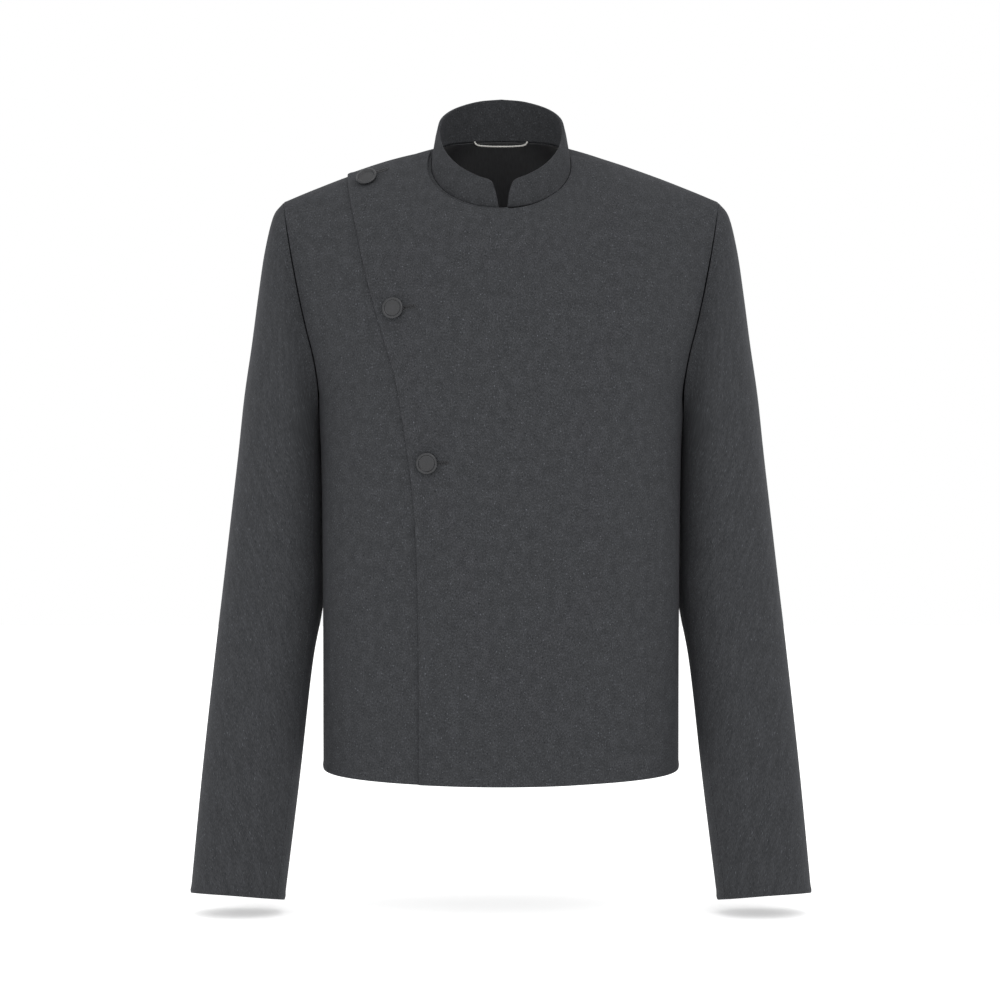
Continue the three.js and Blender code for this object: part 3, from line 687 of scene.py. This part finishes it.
def wool_flannel(name, props, tone):
    """Woollen flannel, woven of carded melange yarn, milled until the weave is hidden, and raised.

    The eye sees dark and pale fibres mixed at the scale of a yarn, slightly cloudy, and a matt face with a
    soft bloom at its edges.
    tone scales the brightness of every fibre; on the collar it is below 1, a painted shade for the shade
    that falls on the collar.
    """
    made, tree = new_material(name)
    place = add(tree, "ShaderNodeUVMap", uv_map="Cloth").outputs["UV"]

    def shade(hex_colour):
        return (*(c * tone for c in linear(hex_colour)[:3]), 1.0)

    # A yarn is 0.45 mm; at the render's 1 mm a pixel its flecks are drawn two to three yarns wide.
    per_fleck = 1 / props.fleck
    grain = add(tree, "ShaderNodeMapping", {"Vector": place, "Scale": (per_fleck, per_fleck * 0.75, 1)})
    fine = add(tree, "ShaderNodeTexNoise", {"Vector": grain.outputs[0], "Scale": 1.0, "Detail": 3.0,
                                           "Roughness": 0.7})
    cloud = add(tree, "ShaderNodeTexNoise", {"Vector": grain.outputs[0], "Scale": 0.14, "Detail": 3.0,
                                            "Roughness": 0.65})
    both = add(tree, "ShaderNodeMix", {"Factor": 0.28, "A": fine.outputs["Fac"], "B": cloud.outputs["Fac"]},
               data_type="FLOAT")
    ground = ramp(
        add(tree, "ShaderNodeValToRGB", {"Fac": both.outputs[0]}),
        (0.36, shade("#27282a")), (0.5, shade("#313234")), (0.64, shade("#3f4043")),
    )
    # Single pale kemp fibres, 0.05 mm thick and some millimetres long, drawn as sparse specks.
    specks = add(tree, "ShaderNodeMapping", {"Vector": place, "Scale": (700, 480, 1), "Location": (7, 3, 0)})
    kemp = add(tree, "ShaderNodeTexNoise", {"Vector": specks.outputs[0], "Scale": 1.0, "Detail": 1.0})
    pale = ramp(
        add(tree, "ShaderNodeValToRGB", {"Fac": kemp.outputs["Fac"]}),
        (0.66, (0, 0, 0, 1)), (0.79, (1, 1, 1, 1)),
    )
    fleck = add(tree, "ShaderNodeMix", {"Factor": pale.outputs["Color"], "A": ground.outputs["Color"],
                                        "B": shade("#595b60")}, data_type="RGBA")
    deep = ramp(
        add(tree, "ShaderNodeValToRGB", {"Fac": kemp.outputs["Fac"]}),
        (0.26, (1, 1, 1, 1)), (0.34, (0, 0, 0, 1)),
    )
    colour = add(tree, "ShaderNodeMix", {"Factor": deep.outputs["Color"], "A": fleck.outputs[2],
                                         "B": shade("#1c1d1f")}, data_type="RGBA")
    # The nap stands some 0.2 mm over the twill, drawn 0.4 mm high.
    bump = add(tree, "ShaderNodeBump", {"Strength": 0.35, "Distance": 0.0004, "Height": both.outputs[0]})
    surface = add(tree, "ShaderNodeBsdfPrincipled", {
        "Base Color": colour.outputs[2], "Roughness": 0.92, "IOR": 1.5, "Specular IOR Level": 0.15,
        "Sheen Weight": 0.1, "Sheen Roughness": 0.5, "Sheen Tint": linear("#9a9ba2"),
        "Normal": bump.outputs["Normal"],
    })
    add(tree, "ShaderNodeOutputMaterial", {"Surface": surface.outputs["BSDF"]})
    return made


def clouded(name, noise, shades, surface, stretch=None, bump=None, grit=None):
    """A material of two shades clouded by a noise, which or a finer grit may raise its surface.

    The noise lies in the object's own space, or stretched on the texture places of a cloth.
    """
    made, tree = new_material(name)
    if stretch:
        place = add(tree, "ShaderNodeUVMap", uv_map="Cloth").outputs["UV"]
        place = add(tree, "ShaderNodeMapping", {"Vector": place, "Scale": stretch}).outputs[0]
    else:
        place = add(tree, "ShaderNodeTexCoord").outputs["Object"]
    cloud = add(tree, "ShaderNodeTexNoise", {"Vector": place, **noise}).outputs["Fac"]
    colour = add(tree, "ShaderNodeValToRGB", {"Fac": cloud})
    ramp(colour, *((at, linear(shade)) for at, shade in shades))
    sockets = {"Base Color": colour.outputs["Color"], **surface}
    if bump:
        height = add(tree, "ShaderNodeTexNoise", {"Vector": place, **grit}).outputs["Fac"] if grit else cloud
        sockets["Normal"] = add(tree, "ShaderNodeBump", {"Height": height, **bump}).outputs["Normal"]
    shader = add(tree, "ShaderNodeBsdfPrincipled", sockets)
    add(tree, "ShaderNodeOutputMaterial", {"Surface": shader.outputs["BSDF"]})
    return made


def lining_satin():
    """Viscose satin, woven of filament and pressed: near black with a soft sheen along its warp."""
    # Satin floats of 0.2 mm are drawn as streaks 1 mm wide.
    return clouded(
        "lining satin", {"Scale": 1.0, "Detail": 2.0}, ((0.3, "#1c1c1e"), (0.7, "#2a2a2d")),
        {"Roughness": 0.48, "Sheen Weight": 0.1},
        stretch=(1000, 120, 1), bump={"Strength": 0.12, "Distance": 0.0002},
    )


def button_horn():
    """Dyed horn, turned on a lathe and tumbled: charcoal, faint cloudy layers and a low, waxy gloss."""
    # Layers of horn some 3 mm wide, and turning marks of 0.1 mm drawn as fine grit.
    return clouded(
        "turned horn", {"Scale": 330.0, "Detail": 3.0, "Distortion": 0.6},
        ((0.35, "#0e0f12"), (0.65, "#17181c")), {"Roughness": 0.38, "IOR": 1.54},
        bump={"Strength": 0.08, "Distance": 0.0001}, grit={"Scale": 4200.0, "Detail": 1.0},
    )


def loop_cord():
    """Viscose cord twisted of two yarns: pale silver grey with a silky sheen on each yarn's back."""
    # Filaments of the yarn, drawn 0.3 mm wide.
    return clouded(
        "twisted viscose cord", {"Scale": 3300.0, "Detail": 2.0},
        ((0.3, "#a3a29e"), (0.7, "#cfcdc8")), {"Roughness": 0.4, "Sheen Weight": 0.3},
    )


def sewing_silk():
    """Buttonhole twist, glazed polyester: charcoal thread with a small bright line on each stitch."""
    # Thread of 0.3 mm.
    return clouded(
        "buttonhole twist", {"Scale": 2600.0, "Detail": 1.0},
        ((0.3, "#18181a"), (0.7, "#262629")), {"Roughness": 0.55},
    )


def studio_floor():
    """Opal acrylic, cast in a sheet and lit from below: a plain white with the faintest cloud in it."""
    # Uneven glow about 0.2 m wide.
    return clouded(
        "opal acrylic", {"Scale": 5.0, "Detail": 1.0}, ((0.3, "#f6f6f6"), (0.7, "#f8f8f8")),
        {"Roughness": 0.9, "Specular IOR Level": 0.1, "Emission Color": linear("#ffffff"),
         "Emission Strength": 0.42},
    )


MATERIALS = {}


def material(key, make, *args):
    """The material of that name, made the first time it is asked for."""
    if key not in MATERIALS:
        MATERIALS[key] = make(*args)
    return MATERIALS[key]


def body_cloth(context):
    """The flannel of the fronts, back and sleeves."""
    return material("wool", wool_flannel, "milled wool flannel", context.scene.jacket_cloth, 1.0)


def body_rows():
    """Rows of the body from the hem through the underarm and the chest to the top seams."""
    shares = stops([(0.36, 70), (0.59, 56), (1, 110)], 640)
    return np.interp(shares, [0, 0.36, 0.59, 1], [0.0, SIDE_SEAM, 1.0, 2.0])


def eased(points, across, up):
    """The yoke eased where its columns pass from the neck seam to the shoulder seam.

    Each pass moves a point half way to the mean of its two neighbours in the row, by a bell across the
    columns that fades out below the yoke and before the seams.
    """
    wide, passes = 0.07, 60
    bell = np.exp(-((np.abs(across) - NECK) / wide) ** 2)
    bell = bell * smooth(1.05, 1.5, up) * (1 - smooth(1.9, 1.99, up))
    weight = (bell / 2)[:, 1:-1, None]
    for _ in range(passes):
        middle = (points[:, :-2] + points[:, 2:]) / 2
        inner = mix(points[:, 1:-1], middle, weight)
        points = np.concatenate([points[:, :1], inner, points[:, -1:]], axis=1)
    return points


def creased(face, points, across, up, props):
    """The body, eased, with its soft creases raised along its own direction outwards."""
    points = eased(points, across, up)
    height = crease_height(points[..., 0], points[..., 2], BODY_CREASES[face]) * props.crease
    return points + grid_normals(points) * height[..., None]


def front_at(x, z):
    """The overlap's outside at places seen from the front, found by small corrections.

    Each is divided by rather more than the cloth's length for one unit across or up.
    """
    first_guess, across_length, lower_length, upper_length = 200, 260, 430, 190
    corrections, highest, step = 60, 1.995, 0.004
    x = np.asarray(x, float)
    across, up = x / first_guess, np.ones_like(x)
    for _ in range(corrections):
        point = body_point("front", across, up)
        across = across + (x - point[..., 0]) / across_length
        away = (z - point[..., 2]) / np.where(up < 1, lower_length, upper_length)
        up = np.clip(up + away, 0, highest)
    sideways = body_point("front", across + step, up) - body_point("front", across - step, up)
    upwards = body_point("front", across, np.minimum(up + step, 2)) - body_point("front", across, up - step)
    normal = unit(np.cross(sideways, upwards))
    point = body_point("front", across, up)
    crease = crease_height(point[..., 0], point[..., 2], BODY_CREASES["front"])
    return point + normal * (overlap_lift(point) + crease)[..., None], normal


class JacketCloth(PropertyGroup):
    fleck: FloatProperty(
        name="Fleck", description="Width of a fleck of the melange",
        default=0.0013, min=0.0004, max=0.006, precision=4, unit="LENGTH")
    crease: FloatProperty(
        name="Crease", description="Height of the soft creases, as a share of the usual one",
        default=1.0, min=0.0, max=3.0, subtype="FACTOR")
    # Painted shade: the collar's flannel is made darker than the body's to stand in for the shade that falls
    # on the collar.
    collar_painted_shade: FloatProperty(
        name="Collar painted shade", description="Brightness of the collar's pressed cloth beside the body's",
        default=0.88, min=0.2, max=1.5, subtype="FACTOR")


class JacketStage(PropertyGroup):
    floor_level: FloatProperty(
        name="Floor level", description="Height of the floor under the cuffs",
        default=-0.757, unit="LENGTH")
    sky: FloatProperty(
        name="Surrounding light", description="Strength of the white room round the jacket",
        default=1.0, min=0.0, max=5.0, subtype="FACTOR")
    key: FloatProperty(
        name="Key light", description="Power of the large light above the front, in watts",
        default=29.0, min=0.0, unit="POWER")


class JACKET_OT_fronts(Operator):
    """Makes both fronts, the left one over the right"""
    bl_idname = "jacket.fronts"
    bl_label = "Fronts"

    def execute(self, context):
        cloth = body_cloth(context)
        up = body_rows()
        edge = edge_across(OVERLAP_EDGE, up)[:, None]
        knee_share, neck_share = 0.16, 0.76
        shares = stops([(knee_share, 24), (neck_share, 84), (1, 36)], 330)
        even = edge + (NECK - edge) * (knee_share / neck_share)
        knee = mix(even, -NECK, smooth(1, 2, up)[:, None])
        across = spread(shares, [0, knee_share, neck_share, 1], [edge, knee, NECK, 1.0])
        height = np.broadcast_to(up[:, None], across.shape)
        lifted = overlap_lift(body_point("front", across, height)) / (CLOTH_WALL + OVERLAP_GAP)
        trimmed = np.where(height > 1, height - (height - 1) * OVERLAP_TRIM * lifted, height)
        base = body_point("front", across, trimmed)
        over = base + grid_normals(base) * overlap_lift(base)[..., None]
        over = creased("front", over, across, height, context.scene.jacket_cloth)
        cloth_piece("front_over", over, (FREE, SEWN, FREE, SEWN), cloth)

        edge = edge_across(UNDERLAP_EDGE, up)[:, None]
        shares = stops([(0.42, 44), (1, 56)], 260)
        across = spread(shares, [0, 0.42, 1], [np.full_like(edge, -1.0), -NECK, edge])
        height = np.broadcast_to(up[:, None], across.shape)
        under = body_point("front", across, height)
        under = creased("front", under, across, height, context.scene.jacket_cloth)
        cloth_piece("front_under", under, (FREE, SEWN, SEWN, HIDDEN), cloth)
        return {"FINISHED"}


class JACKET_OT_back(Operator):
    """Makes the back in one piece"""
    bl_idname = "jacket.back"
    bl_label = "Back"

    def execute(self, context):
        up = body_rows()[:, None]
        shares = stops([(0.21, 32), (0.79, 88), (1, 32)], 480)
        across = -np.interp(shares, [0, 0.21, 0.79, 1], [-1, -NECK, NECK, 1])[None, :]
        points = creased("back", body_point("back", across, up), across, up, context.scene.jacket_cloth)
        cloth_piece("back", points, (FREE, SEWN, SEWN, SEWN), body_cloth(context))
        return {"FINISHED"}


def sleeve_piece(part, start, end, columns, side, cloth):
    """A sleeve piece between two seams, standing off the armhole by the seam's gap."""
    sleeve_length, step = 700, 0.01
    rows = stops([(0.5, 90), (1, 110)], sleeve_length)
    at = np.interp(rows, [0, 0.5, 1], [0, UPPER_END, CUFF_AT])[:, None]
    first, last = math.radians(start), math.radians(end)
    arc = length(sleeve_point(at, first + step) - sleeve_point(at, first))[..., 0] / step
    arc_end = length(sleeve_point(at, last + step) - sleeve_point(at, last))[..., 0] / step
    low, high = first - SEWN_INTO / 2 / arc, last + SEWN_INTO / 2 / arc_end
    shares = stops([(1, columns)], (last - first) * SECTION_LENGTH)
    turn = mix(low, high, shares[None, :])
    points = sleeve_point(at, turn)
    away = unit(sleeve_point(0.1, turn[:1]) - sleeve_point(0.0, turn[:1]))
    near = np.maximum(1 - at / GAP_FADE_AT, 0)
    points = points + away * (CAP_GAP * near)[..., None]
    points[..., 0] += UNDERARM_GAP * np.maximum(np.cos(turn), 0) * near
    degrees = np.degrees(np.mod(turn, FULL_TURN))
    along = at * SECTION_LENGTH
    creases = dict(SLEEVE_CREASES)
    for end in ("at0", "at1"):
        creases[end] = creases[end] * SECTION_LENGTH
    height = crease_height(along, degrees, creases)
    if side == "right":
        height = height * 0.8 + crease_height(along + 26, degrees + 9, creases) * 0.35
    points = points - grid_normals(points) * (height * smooth(0, 1.2, at))[..., None]
    outward = -1
    if side == "right":
        points[..., 0] *= -1
        outward = 1
    cloth_piece(f"sleeve_{side}_{part}", points, (SEWN, FREE, SEWN, SEWN), cloth, outward=outward)


class JACKET_OT_sleeves(Operator):
    """Makes the top and under pieces of both sleeves"""
    bl_idname = "jacket.sleeves"
    bl_label = "Sleeves"

    def execute(self, context):
        cloth = body_cloth(context)
        for side in ("left", "right"):
            sleeve_piece("top", FORE_SEAM, HIND_SEAM, 118, side, cloth)
            sleeve_piece("under", HIND_SEAM - 360, FORE_SEAM, 60, side, cloth)
        return {"FINISHED"}


class JACKET_OT_collar(Operator):
    """Makes the stand collar"""
    bl_idname = "jacket.collar"
    bl_label = "Collar"

    def execute(self, context):
        props = context.scene.jacket_cloth
        # The collar's flannel is darkened by its tone below 1, a painted shade for the shade that falls on
        # the collar.
        cloth = material("collar", wool_flannel, "collar flannel with painted shade", props, props.collar_painted_shade)
        share_per_length = NECK_SEAM["front"]["along"][1] / NECK_SEAM["front"]["x"][1] * (1 - COLLAR_SIDE)
        up = stops([(1, 30)], 42)[:, None]
        right = -1 + read(COLLAR_ENDS, "up", up, "right") * share_per_length
        left = 1 - read(COLLAR_ENDS, "up", up, "left") * share_per_length
        around = mix(right, left, stops([(1, 190)], 410)[None, :])
        up = np.broadcast_to(up, around.shape)
        points = collar_point(around, up)
        step = 0.01
        above = collar_point(around, np.minimum(up + step, 1))
        upwards = unit(above - collar_point(around, np.maximum(up - step, 0)))
        sewn = COLLAR_SEWN_DOWN * (1 - up)
        edges = (SEWN, COLLAR_FREE, COLLAR_FREE, COLLAR_FREE)
        cloth_piece("collar", points - upwards * sewn[..., None], edges, cloth,
                    outward=-1, wall=COLLAR_WALL)
        return {"FINISHED"}


class JACKET_OT_inside(Operator):
    """Makes the lining of the upper back and the hanger loop"""
    bl_idname = "jacket.inside"
    bl_label = "Inside back neck"

    def execute(self, context):
        up = mix(2 - LINING_ROWS_SHARE, 2, stops([(1, 60)], 160))[:, None]
        wide = NECK + (1 - NECK) / LINING_COLUMN
        across = -mix(-wide, wide, stops([(1, 80)], 250))[None, :]
        points = body_point("back", across, up)
        points = points - grid_normals(points) * (CLOTH_WALL + SEAM_GAP)
        cloth_piece("lining_yoke", points, (HIDDEN,) * 4, material("satin", lining_satin),
                    wall=LINING_WALL)
        made = twisted_cord("hanger_loop_cord", loop_centre(160))
        finish(made, ["hanger_loop"], material("cord", loop_cord))
        return {"FINISHED"}


def loop_centre(count):
    """Points on a smooth curve through the loop's route, spaced by the distance along its straight legs."""
    corners = vec(LOOP_ROUTE["x"], LOOP_ROUTE["y"], LOOP_ROUTE["z"])
    legs = np.concatenate([[0], np.cumsum(length(np.diff(corners, axis=0))[:, 0])])
    rows = dict(LOOP_ROUTE, along=legs)
    along = np.linspace(0, legs[-1], count)
    return vec(*(read(rows, "along", along, name) for name in "xyz"))


def twisted_cord(name, route):
    """A cord of two yarns: a ring whose radius swells twice a turn, twisted along the route."""
    turn = np.linspace(0, FULL_TURN, 14, endpoint=False)
    ring = directions_round(unit(np.gradient(route, axis=0)), [0.0, 1.0, 0.0], turn)
    along = np.cumsum(np.pad(length(np.diff(route, axis=0))[:, 0], (1, 0)))
    twist = along[:, None] / LOOP_HALF_TWIST * math.pi
    ends = rounded(np.minimum(along, along[-1] - along), 0.8)[:, None]
    radius = LOOP_RADIUS * (0.93 + 0.1 * np.cos(2 * (turn - twist))) * np.maximum(ends, 0.02)
    return tubes(name, route[:, None] + ring * radius[..., None])


class JACKET_OT_buttons(Operator):
    """Makes the three turned buttons"""
    bl_idname = "jacket.buttons"
    bl_label = "Buttons"

    def execute(self, context):
        for node, (x, z, tip, off) in BUTTON_PLACES.items():
            seat, normal = front_at(np.array(x), np.array(z))
            axis = unit(normal - np.array([0.0, tip, 0.0]))
            made = lathe_piece(node + "_turned", BUTTON_PROFILE, seat + normal * off, axis, 72)
            finish(made, [node], material("horn", button_horn))
        return {"FINISHED"}


class JACKET_OT_buttonholes(Operator):
    """Sews the three buttonholes"""
    bl_idname = "jacket.buttonholes"
    bl_label = "Buttonholes"

    def execute(self, context):
        for node, (start, end) in HOLE_PLACES.items():
            made = buttonhole(node.replace("button", "buttonhole"), np.array(start), np.array(end))
            finish(made, [], material("silk", sewing_silk))
        return {"FINISHED"}


def buttonhole(name, start, end):
    """Stitches side by side round a slit: each is an arc over the cloth, set along a long oval."""
    half_gap, reach, stitch_height, sunk, thread = 0.35, 1.25, 0.42, 0.12, 0.27
    long = np.linalg.norm(end - start)
    along = (end - start) / long
    beside = np.array([-along[1], along[0]])
    straight = np.arange(0.3, long - 0.2, 0.5)
    round_end = np.linspace(-math.pi / 2, math.pi / 2, 9)[1:-1]
    square = np.full_like(straight, math.pi / 2)
    angle = np.concatenate([-square, round_end, square])[:, None]
    base = np.concatenate([straight, np.full_like(round_end, long), straight[::-1]])[:, None]
    outs = np.cos(angle) * along + np.sin(angle) * beside
    feet = start + base * along + outs * half_gap
    arc = np.linspace(0, math.pi, 7)
    places = feet[:, None] + outs[:, None] * (reach * (1 - np.cos(arc)) / 2)[None, :, None]
    seat, normal = front_at(places[..., 0], places[..., 1])
    centre = seat + normal * (stitch_height * np.sin(arc) - sunk)[None, :, None]
    forward = unit(np.gradient(centre, axis=1))
    ring = directions_round(forward, normal, np.linspace(0, FULL_TURN, 6, endpoint=False))
    return tubes(name, centre[..., None, :] + ring * thread)


# The floor's reach in mm. Square softboxes: name, place, point aimed at, side and share of the key's power.
FLOOR_REACH = 6000
LIGHTS = (
    ("key", (0.7, -2.4, 1.9), (0, 0, -0.3), 2.2, 1.0),
    ("fill", (-1.6, -2.2, 0.6), (0, 0, -0.35), 1.8, 0.2),
    ("top", (0, 0.3, 2.4), (0, 0, -0.2), 2.0, 0.15),
)
# The camera looks level along Y. Its sensor and lens are in mm, its place and view in metres.
CAMERA_PLACE = (-0.001, -2.7, -0.35)
SENSOR_WIDTH = 36
LENS = 97.2
VIEW_REACH = 60


class JACKET_OT_stage(Operator):
    """Sets the floor, the lights and the camera"""
    bl_idname = "jacket.stage"
    bl_label = "Stage"

    def execute(self, context):
        props = context.scene.jacket_stage
        side = np.linspace(-FLOOR_REACH, FLOOR_REACH, 3)
        points = vec(side[None, :], side[:, None], props.floor_level / METRES).reshape(-1, 3)
        floor = put_mesh("floor", points, [grid_faces(np.arange(9).reshape(3, 3))])
        floor.data.materials.append(studio_floor())

        world = bpy.data.worlds.new("white room")
        context.scene.world = world
        world.use_nodes = True
        background = world.node_tree.nodes["Background"]
        background.inputs["Color"].default_value = linear("#ffffff")
        background.inputs["Strength"].default_value = props.sky

        for name, place, target, size, share in LIGHTS:
            light = bpy.data.lights.new(name, "AREA")
            light.shape = "SQUARE"
            light.size = size
            light.energy = props.key * share
            made = bpy.data.objects.new(name, light)
            made.location = place
            made.rotation_euler = (Vector(target) - Vector(place)).to_track_quat("-Z", "Y").to_euler()
            context.scene.collection.objects.link(made)

        camera = bpy.data.objects.new("camera", bpy.data.cameras.new("camera"))
        context.scene.collection.objects.link(camera)
        camera.location = CAMERA_PLACE
        camera.rotation_euler = (math.radians(90), 0, 0)
        camera.data.sensor_width = SENSOR_WIDTH
        camera.data.lens = LENS
        camera.data.clip_end = VIEW_REACH
        context.scene.camera = camera
        context.scene.view_settings.view_transform = "Standard"
        return {"FINISHED"}


class JACKET_PT_panel(Panel):
    """Lists the pieces of the jacket"""
    bl_idname = "JACKET_PT_panel"
    bl_label = "Jacket"
    bl_space_type = "VIEW_3D"
    bl_region_type = "UI"
    bl_category = "Jacket"

    def draw(self, context):
        cloth, stage = context.scene.jacket_cloth, context.scene.jacket_stage
        for name in ("fleck", "crease", "collar_painted_shade"):
            self.layout.prop(cloth, name)
        for name in ("floor_level", "sky", "key"):
            self.layout.prop(stage, name)
        for step in STEPS:
            self.layout.operator(step.bl_idname)


STEPS = (
    JACKET_OT_stage, JACKET_OT_fronts, JACKET_OT_back, JACKET_OT_sleeves, JACKET_OT_collar,
    JACKET_OT_inside, JACKET_OT_buttons, JACKET_OT_buttonholes,
)
CLASSES = (JacketCloth, JacketStage, *STEPS, JACKET_PT_panel)


def register():
    for cls in CLASSES:
        bpy.utils.register_class(cls)
    bpy.types.Scene.jacket_cloth = PointerProperty(type=JacketCloth)
    bpy.types.Scene.jacket_stage = PointerProperty(type=JacketStage)


def unregister():
    del bpy.types.Scene.jacket_cloth, bpy.types.Scene.jacket_stage
    for cls in reversed(CLASSES):
        bpy.utils.unregister_class(cls)


def main():
    register()
    for step in STEPS:
        group, name = step.bl_idname.split(".")
        getattr(getattr(bpy.ops, group), name)()


if __name__ == "__main__":
    main()
